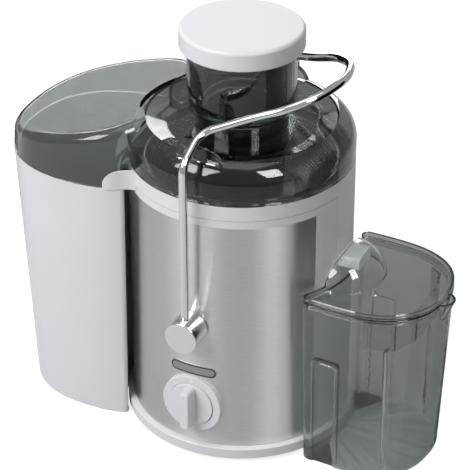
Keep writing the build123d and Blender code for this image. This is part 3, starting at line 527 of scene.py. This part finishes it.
# %% The rolled sieve
def sieve_tree():
    tree = bpy.data.node_groups.new("rolled_sieve", "GeometryNodeTree")
    for name, kind in (
        ("Geometry", "NodeSocketGeometry"),
        ("Tile", "NodeSocketObject"),
        ("Columns", "NodeSocketInt"),
        ("Rows", "NodeSocketInt"),
        ("Low radius", "NodeSocketFloat"),
        ("High radius", "NodeSocketFloat"),
        ("Low height", "NodeSocketFloat"),
        ("High height", "NodeSocketFloat"),
        ("Sheet", "NodeSocketFloat"),
        ("Finish", "NodeSocketMaterial"),
    ):
        tree.interface.new_socket(name, in_out="INPUT", socket_type=kind)
    tree.interface.new_socket("Geometry", in_out="OUTPUT", socket_type="NodeSocketGeometry")
    given = place(tree, "NodeGroupInput")
    less_one = [
        place(tree, "ShaderNodeMath", {0: (given, name), 1: 1.0}, operation="SUBTRACT")
        for name in ("Columns", "Rows")
    ]
    grid = place(
        tree,
        "GeometryNodeMeshGrid",
        {
            "Size X": less_one[0],
            "Size Y": less_one[1],
            "Vertices X": (given, "Columns"),
            "Vertices Y": (given, "Rows"),
        },
    )
    tile = place(tree, "GeometryNodeObjectInfo", {"Object": (given, "Tile")})
    tiled = place(
        tree,
        "GeometryNodeInstanceOnPoints",
        {"Points": (grid, "Mesh"), "Instance": (tile, "Geometry")},
    )
    flat = place(tree, "GeometryNodeRealizeInstances", {"Geometry": tiled})
    joined = place(tree, "GeometryNodeMergeByDistance", {"Geometry": flat, "Distance": 0.01})
    at = place(tree, "GeometryNodeInputPosition")
    split = place(tree, "ShaderNodeSeparateXYZ", {"Vector": at})
    turn = place(tree, "ShaderNodeMath", {0: (split, "X"), 1: math.tau}, operation="MULTIPLY")
    angle = place(tree, "ShaderNodeMath", {0: turn, 1: (given, "Columns")}, operation="DIVIDE")
    upward = place(tree, "ShaderNodeMath", {0: (split, "Y"), 1: (given, "Rows")}, operation="DIVIDE")
    share = place(tree, "ShaderNodeMath", {0: upward, 1: 0.5}, operation="ADD")
    radius = place(
        tree,
        "ShaderNodeMapRange",
        {"Value": share, "To Min": (given, "Low radius"), "To Max": (given, "High radius")},
    )
    height = place(
        tree,
        "ShaderNodeMapRange",
        {"Value": share, "To Min": (given, "Low height"), "To Max": (given, "High height")},
    )
    cosine = place(tree, "ShaderNodeMath", {0: angle}, operation="COSINE")
    sine = place(tree, "ShaderNodeMath", {0: angle}, operation="SINE")
    x = place(tree, "ShaderNodeMath", {0: cosine, 1: (radius, "Result")}, operation="MULTIPLY")
    y = place(tree, "ShaderNodeMath", {0: sine, 1: (radius, "Result")}, operation="MULTIPLY")
    rolled_to = place(tree, "ShaderNodeCombineXYZ", {"X": x, "Y": y, "Z": (height, "Result")})
    rolled = place(tree, "GeometryNodeSetPosition", {"Geometry": joined, "Position": rolled_to})
    closed = place(tree, "GeometryNodeMergeByDistance", {"Geometry": rolled, "Distance": 0.00001})
    thick = place(
        tree,
        "GeometryNodeExtrudeMesh",
        {"Mesh": closed, "Offset Scale": (given, "Sheet"), "Individual": False},
        mode="FACES",
    )
    whole = place(tree, "GeometryNodeJoinGeometry")
    inner = place(tree, "GeometryNodeFlipFaces", {"Mesh": closed})
    tree.links.new(thick.outputs["Mesh"], whole.inputs["Geometry"])
    tree.links.new(inner.outputs["Mesh"], whole.inputs["Geometry"])
    sealed = place(tree, "GeometryNodeMergeByDistance", {"Geometry": whole, "Distance": 0.00001})
    solid = place(tree, "GeometryNodeRealizeInstances", {"Geometry": sealed})
    dressed = place(tree, "GeometryNodeSetMaterial", {"Geometry": solid, "Material": (given, "Finish")})
    place(tree, "NodeGroupOutput", {"Geometry": dressed})
    return tree


tile = sieve_tile()
basket_low, basket_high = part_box("filter_basket")
rim_z = basket_high.z
RIM_R, FLOOR_R, SHEET = 0.0805, 0.0550, 0.0005
sieve = grow(
    "basket_sieve",
    bpy.data.meshes.new("sieve_start"),
    sieve_tree(),
    {
        "Tile": tile,
        "Columns": 168,
        "Rows": 16,
        "Low radius": FLOOR_R - 0.0006,
        "High radius": RIM_R - 0.0006,
        "Low height": basket_low.z + 0.0012,
        "High height": rim_z - 0.0012,
        "Sheet": SHEET,
        "Finish": drawn_steel,
    },
)
bpy.data.objects.remove(tile)
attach(sieve, "rotor")

# %% [markdown]
# The sieve's two edges are crimped into a rolled rim at the top and a flat ring at the
# foot. Each is a profile turned round the axle, like a bead turned on a lathe. The helper
# spins any closed profile, and is used again for other round trim.

# %% Turned trim
def turned(name, profile, finish, steps=160):
    """Spins a closed (radius, height) profile round the axle, with its faces outwards."""
    work = bmesh.new()
    rings = []
    for step in range(steps):
        angle = math.tau * step / steps
        rings.append([work.verts.new((r * math.cos(angle), r * math.sin(angle), z)) for r, z in profile])
    for step in range(steps):
        here, after = rings[step], rings[(step + 1) % steps]
        for i in range(len(profile)):
            k = (i + 1) % len(profile)
            work.faces.new((here[i], after[i], after[k], here[k]))
    bmesh.ops.recalc_face_normals(work, faces=work.faces)
    mesh = bpy.data.meshes.new(name)
    work.to_mesh(mesh)
    work.free()
    mesh.materials.append(finish)
    mesh.shade_smooth()
    mesh.set_sharp_from_angle(angle=math.radians(35))
    made = bpy.data.objects.new(name, mesh)
    bpy.context.scene.collection.objects.link(made)
    print(name, "has", len(mesh.polygons), "faces")
    return made


def rounded_bead(radius, height, half_width, half_height, points=14):
    return [
        (
            radius + half_width * math.cos(math.tau * i / points),
            height + half_height * math.sin(math.tau * i / points),
        )
        for i in range(points)
    ]


rim = turned("basket_rim", rounded_bead(RIM_R + 0.0007, rim_z - 0.0013, 0.0015, 0.0013), drawn_steel)
foot_ring = turned(
    "basket_foot_ring",
    [
        (FLOOR_R - 0.0038, basket_low.z),
        (FLOOR_R, basket_low.z),
        (FLOOR_R + 0.0002, basket_low.z + 0.0022),
        (FLOOR_R - 0.0008, basket_low.z + 0.0022),
        (FLOOR_R - 0.0010, basket_low.z + 0.0011),
        (FLOOR_R - 0.0038, basket_low.z + 0.0011),
    ],
    drawn_steel,
)
for piece in (rim, foot_ring):
    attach(piece, "rotor")
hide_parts("filter_basket")

# %% [markdown]
# Screws come in rings: four in the base plate and three in the motor bracket. One screw is
# modelled in full, with a domed head and a cross recess that the driver fits, and a tree
# sets copies of it round a circle. Copies are cheap to place and all stay alike.

# %% One screw
def cross_screw(head_r, head_h, shank_r, shank_h):
    """A pan-head screw, head up, with its bearing face at height 0."""
    work = bmesh.new()
    rings, sides = [], 24
    outline = [(shank_r * 0.2, -shank_h), (shank_r, -shank_h * 0.86), (shank_r, 0), (head_r, 0)]
    outline += [(head_r, head_h * 0.45), (head_r * 0.88, head_h * 0.8), (head_r * 0.62, head_h)]
    for r, z in outline:
        rings.append(
            [
                work.verts.new((r * math.cos(math.tau * i / sides), r * math.sin(math.tau * i / sides), z))
                for i in range(sides)
            ]
        )
    for low, high in zip(rings, rings[1:]):
        for i in range(sides):
            k = (i + 1) % sides
            work.faces.new((low[i], low[k], high[k], high[i]))
    work.faces.new(reversed(rings[0]))
    # The recess: the head's flat top is a fan round a cross whose middle is sunk.
    arm, half = head_r * 0.5, head_r * 0.11
    cross = [
        (arm, -half), (arm, half), (half, half), (half, arm), (-half, arm), (-half, half),
        (-arm, half), (-arm, -half), (-half, -half), (-half, -arm), (half, -arm), (half, -half),
    ]
    top = [work.verts.new((x, y, head_h)) for x, y in cross]
    deep = [work.verts.new((x * 0.7, y * 0.7, head_h * 0.35)) for x, y in cross]
    for i in range(12):
        k = (i + 1) % 12
        work.faces.new((top[k], top[i], deep[i], deep[k]))
    work.faces.new(deep)
    edges = [work.edges.get((rings[-1][i], rings[-1][(i + 1) % sides])) for i in range(sides)]
    edges += [work.edges.get((top[i], top[(i + 1) % 12])) for i in range(12)]
    bmesh.ops.triangle_fill(work, use_beauty=True, edges=edges)
    bmesh.ops.recalc_face_normals(work, faces=work.faces)
    mesh = bpy.data.meshes.new("cross_screw")
    work.to_mesh(mesh)
    work.free()
    mesh.shade_smooth()
    mesh.set_sharp_from_angle(angle=math.radians(32))
    holder = bpy.data.objects.new("cross_screw", mesh)
    bpy.context.scene.collection.objects.link(holder)
    return holder


# %% A ring of copies
def ring_tree():
    tree = bpy.data.node_groups.new("ring_of_copies", "GeometryNodeTree")
    for name, kind in (
        ("Geometry", "NodeSocketGeometry"),
        ("Pattern", "NodeSocketObject"),
        ("Count", "NodeSocketInt"),
        ("Ring radius", "NodeSocketFloat"),
        ("Height", "NodeSocketFloat"),
        ("First angle", "NodeSocketFloat"),
        ("Tip over", "NodeSocketFloat"),
        ("Finish", "NodeSocketMaterial"),
    ):
        tree.interface.new_socket(name, in_out="INPUT", socket_type=kind)
    tree.interface.new_socket("Geometry", in_out="OUTPUT", socket_type="NodeSocketGeometry")
    given = place(tree, "NodeGroupInput")
    dots = place(tree, "GeometryNodePoints", {"Count": (given, "Count")})
    index = place(tree, "GeometryNodeInputIndex")
    share = place(tree, "ShaderNodeMath", {0: index, 1: (given, "Count")}, operation="DIVIDE")
    turned_by = place(tree, "ShaderNodeMath", {0: share, 1: math.tau}, operation="MULTIPLY")
    angle = place(tree, "ShaderNodeMath", {0: turned_by, 1: (given, "First angle")}, operation="ADD")
    cosine = place(tree, "ShaderNodeMath", {0: angle}, operation="COSINE")
    sine = place(tree, "ShaderNodeMath", {0: angle}, operation="SINE")
    x = place(tree, "ShaderNodeMath", {0: cosine, 1: (given, "Ring radius")}, operation="MULTIPLY")
    y = place(tree, "ShaderNodeMath", {0: sine, 1: (given, "Ring radius")}, operation="MULTIPLY")
    spot = place(tree, "ShaderNodeCombineXYZ", {"X": x, "Y": y, "Z": (given, "Height")})
    spread = place(tree, "GeometryNodeSetPosition", {"Geometry": dots, "Position": spot})
    facing = place(tree, "ShaderNodeCombineXYZ", {"X": (given, "Tip over"), "Z": angle})
    pattern = place(tree, "GeometryNodeObjectInfo", {"Object": (given, "Pattern")})
    copies = place(
        tree,
        "GeometryNodeInstanceOnPoints",
        {"Points": spread, "Instance": (pattern, "Geometry"), "Rotation": facing},
    )
    solid = place(tree, "GeometryNodeRealizeInstances", {"Geometry": copies})
    dressed = place(tree, "GeometryNodeSetMaterial", {"Geometry": solid, "Material": (given, "Finish")})
    place(tree, "NodeGroupOutput", {"Geometry": dressed})
    return tree


ring_of = ring_tree()
low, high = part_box("base_screws")
base_screw = cross_screw(0.0036, 0.0020, 0.0020, high.z - low.z - 0.0020)
base_fixings = grow(
    "base_plate_screws",
    bpy.data.meshes.new("base_start"),
    ring_of,
    {
        "Pattern": base_screw,
        "Count": 4,
        "Ring radius": 0.082,
        "Height": low.z + 0.0020,
        "First angle": 0.0,
        "Tip over": math.pi,
        "Finish": motor_steel,
    },
)
bpy.data.objects.remove(base_screw)
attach(base_fixings, "main")
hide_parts("base_screws")

low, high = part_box("motor_screws")
motor_screw = cross_screw(0.0032, 0.0012, 0.0019, high.z - low.z - 0.0012)
motor_fixings = grow(
    "motor_bracket_screws",
    bpy.data.meshes.new("motor_start"),
    ring_of,
    {
        "Pattern": motor_screw,
        "Count": 3,
        "Ring radius": 0.036,
        "Height": high.z - 0.0012,
        "First angle": math.radians(30),
        "Tip over": 0.0,
        "Finish": motor_steel,
    },
)
bpy.data.objects.remove(motor_screw)
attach(motor_fixings, "main")
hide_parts("motor_screws")

# %% [markdown]
# The switch has three places: off, slow and fast. They are marked round the dial with a
# ring, one bar and two bars, pad-printed in white ink. Ink has a thickness, a few
# hundredths of a millimetre, so the marks are thin plates laid on the dial's face.

# %% Marks on the dial
ink = moulded_plastic("pad_printed_white_ink", "#F2F2F2", "#E9E9EA", 0.8, 0.2, 0.5)
DIAL_Z, MARK_R, BEZEL_Y = 0.054, 0.0236, -0.0988
MARK_H, STROKE, INK = 0.0036, 0.00055, 0.00012


def bar_points(offset):
    left, right, top = offset - STROKE / 2, offset + STROKE / 2, MARK_H / 2
    return [(left, -top), (right, -top), (right, top), (left, top)]


def dial_mark(work, turn_degrees, outlines):
    """Adds flat outlines to the bezel's face, turned clockwise from the top."""
    turn = math.radians(turn_degrees)
    for outline in outlines:
        front, back = [], []
        for x, y in outline:
            px = x * math.cos(turn) + (y + MARK_R) * math.sin(turn)
            pz = (y + MARK_R) * math.cos(turn) - x * math.sin(turn)
            front.append(work.verts.new((px, BEZEL_Y - INK, DIAL_Z + pz)))
            back.append(work.verts.new((px, BEZEL_Y + INK, DIAL_Z + pz)))
        work.faces.new(front)
        work.faces.new(list(reversed(back)))
        for i in range(len(front)):
            k = (i + 1) % len(front)
            work.faces.new((front[i], back[i], back[k], front[k]))


def ring_pieces(count=20):
    pieces = []
    for i in range(count):
        a, b = math.tau * i / count, math.tau * (i + 1) / count
        outer = [(0.0013 * math.cos(t), MARK_H / 2 * math.sin(t)) for t in (a, b)]
        inner = [((0.0013 - STROKE) * math.cos(t), (MARK_H / 2 - STROKE) * math.sin(t)) for t in (b, a)]
        pieces.append(outer + inner)
    return pieces


marks = bmesh.new()
dial_mark(marks, 0, ring_pieces())
dial_mark(marks, -42, [bar_points(0.0)])
dial_mark(marks, 42, [bar_points(-0.0007), bar_points(0.0007)])
bmesh.ops.recalc_face_normals(marks, faces=marks.faces)
marks_mesh = bpy.data.meshes.new("dial_marks")
marks.to_mesh(marks_mesh)
marks.free()
marks_mesh.materials.append(ink)
dial_marks = bpy.data.objects.new("dial_marks", marks_mesh)
bpy.context.scene.collection.objects.link(dial_marks)
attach(dial_marks, "main")
print("dial marks:", len(marks_mesh.polygons), "faces")

# %% [markdown]
# The table is a wide sheet of white laminate, lit from below as well as from above, as a
# light table is. The camera sees it as white as the background, with only a faint contact
# shadow. Everything else, such as reflections and the light that bounces up on the object,
# gets an ordinary pale table, so the object keeps its shading.

# %% The light table
table_mesh = bpy.data.meshes.new("table")
SIDE = 8.0
table_corners = [(-SIDE, -SIDE, 0), (SIDE, -SIDE, 0), (SIDE, SIDE, 0), (-SIDE, SIDE, 0)]
table_mesh.from_pydata(table_corners, [], [(0, 1, 2, 3)])
table = bpy.data.objects.new("table", table_mesh)
bpy.context.scene.collection.objects.link(table)
table_finish, table_nodes = new_finish("white_laminate_table")
glow = place(table_nodes, "ShaderNodeEmission", {"Color": paint("#FFFFFF"), "Strength": 0.78})
white_top = place(table_nodes, "ShaderNodeBsdfDiffuse", {"Color": paint("#A8A8A8")})
lit_top = place(table_nodes, "ShaderNodeAddShader", {0: glow, 1: white_top})
pale_top = place(table_nodes, "ShaderNodeBsdfDiffuse", {"Color": paint("#BFC0C0")})
ray = place(table_nodes, "ShaderNodeLightPath")
table_mix = place(table_nodes, "ShaderNodeMixShader", {0: (ray, "Is Camera Ray"), 1: pale_top, 2: lit_top})
place(table_nodes, "ShaderNodeOutputMaterial", {"Surface": table_mix})
table_mesh.materials.append(table_finish)

# %% [markdown]
# The light comes from soft boxes in a dim room: a large one in front on the left does
# most of the work, a narrow one on the right draws the second bright band on the steel,
# and a lit backdrop behind shines back off every surface that slopes away. Chrome and
# smoked plastic need something dark to reflect, or they look like grey paint, so there
# are black cards beside the object that only reflections can see.

# %% Room light
VIEW_AZIMUTH, VIEW_ELEVATION = 25.3, 30.95
scene = bpy.context.scene
scene.view_settings.view_transform = "Standard"
world = bpy.data.worlds.new("dim_room")
scene.world = world
world.use_nodes = True
room_nodes = world.node_tree
room_nodes.nodes.clear()
dim = place(room_nodes, "ShaderNodeBackground", {"Color": paint("#FFFFFF"), "Strength": 0.34})
backdrop = place(room_nodes, "ShaderNodeBackground", {"Color": paint("#FFFFFF"), "Strength": 1.0})
seen = place(room_nodes, "ShaderNodeLightPath")
room_mix = place(room_nodes, "ShaderNodeMixShader", {0: (seen, "Is Camera Ray"), 1: dim, 2: backdrop})
place(room_nodes, "ShaderNodeOutputWorld", {"Surface": room_mix})


def around(azimuth, distance, elevation, middle_height=0.2):
    """A spot seen from the object: azimuth 0 is in front, 90 is on the jug's side."""
    a, e = math.radians(azimuth), math.radians(elevation)
    flat = distance * math.cos(e)
    return Vector((flat * math.sin(a), -flat * math.cos(a), middle_height + distance * math.sin(e)))


def soft_box(name, azimuth, elevation, distance, width, height, radiance, fills=True):
    """An area light aimed at the object. Radiance is how bright its face looks."""
    lamp = bpy.data.lights.new(name, "AREA")
    lamp.shape = "RECTANGLE"
    lamp.size, lamp.size_y = width, height
    lamp.energy = radiance * math.pi * width * height
    made = bpy.data.objects.new(name, lamp)
    made.location = around(azimuth, distance, elevation)
    made.rotation_mode = "QUATERNION"
    made.rotation_quaternion = (Vector((0, 0, 0.2)) - made.location).to_track_quat("-Z", "Y")
    made.visible_diffuse = fills
    scene.collection.objects.link(made)
    print(name, "at", [round(c, 2) for c in made.location])
    return made


soft_box("key_box", -28, 42, 2.0, 1.15, 1.1, 8.5)
soft_box("right_box", 58, 42, 2.0, 0.55, 1.1, 12.0, fills=False)
soft_box("backdrop_box", 218, 12, 2.2, 2.6, 1.0, 3.6)
soft_box("overhead_box", 0, 88, 2.0, 1.2, 1.2, 1.4)

# %% Black cards for the reflections
card_finish, card_nodes = new_finish("black_card")
matt = place(card_nodes, "ShaderNodeBsdfDiffuse", {"Color": paint("#0A0A0A")})
place(card_nodes, "ShaderNodeOutputMaterial", {"Surface": matt})


def black_card(name, azimuth_from, azimuth_to, near, far, height):
    """A black sheet on the table between two azimuths, bent up at its far edge."""
    spots, faces, steps = [], [], 12
    for step in range(steps + 1):
        a = math.radians(azimuth_from + (azimuth_to - azimuth_from) * step / steps)
        x, y = math.sin(a), -math.cos(a)
        spots += [(near * x, near * y, 0.001), (far * x, far * y, 0.001), (far * x, far * y, height)]
    for step in range(steps):
        i = 3 * step
        faces += [(i, i + 1, i + 4, i + 3), (i + 1, i + 2, i + 5, i + 4)]
    mesh = bpy.data.meshes.new(name)
    mesh.from_pydata(spots, [], faces)
    mesh.materials.append(card_finish)
    card = bpy.data.objects.new(name, mesh)
    scene.collection.objects.link(card)
    card.visible_camera = False
    card.visible_diffuse = False
    card.visible_transmission = False
    card.visible_shadow = False
    return card


black_card("card_right", 74, 130, 0.12, 1.4, 1.0)
black_card("card_left", -150, -102, 0.12, 1.4, 1.0)

# %% [markdown]
# The camera stands well back with a long lens, which keeps the upright lines nearly
# parallel. It looks down by about 31 degrees, from in front and a little to the right.

# %% Camera
def back_along(azimuth, elevation):
    a, e = math.radians(azimuth), math.radians(elevation)
    return Vector((math.sin(a) * math.cos(e), -math.cos(a) * math.cos(e), math.sin(e)))


SPINDLE_POINT = Vector((0, 0, 0.18))
back = back_along(VIEW_AZIMUTH, VIEW_ELEVATION)
right = Vector((0, 0, 1)).cross(back).normalized()
upright = back.cross(right)
lens = bpy.data.cameras.new("long_lens")
lens.sensor_width, lens.lens = 36.0, 162.5
camera = bpy.data.objects.new("camera", lens)
camera.location = SPINDLE_POINT + back * 1.8
look_at = SPINDLE_POINT - right * 0.00574 - upright * 0.01177
camera.rotation_mode = "QUATERNION"
camera.rotation_quaternion = (camera.location - look_at).to_track_quat("Z", "Y")
scene.collection.objects.link(camera)
scene.camera = camera
print("camera at", [round(c, 3) for c in camera.location])
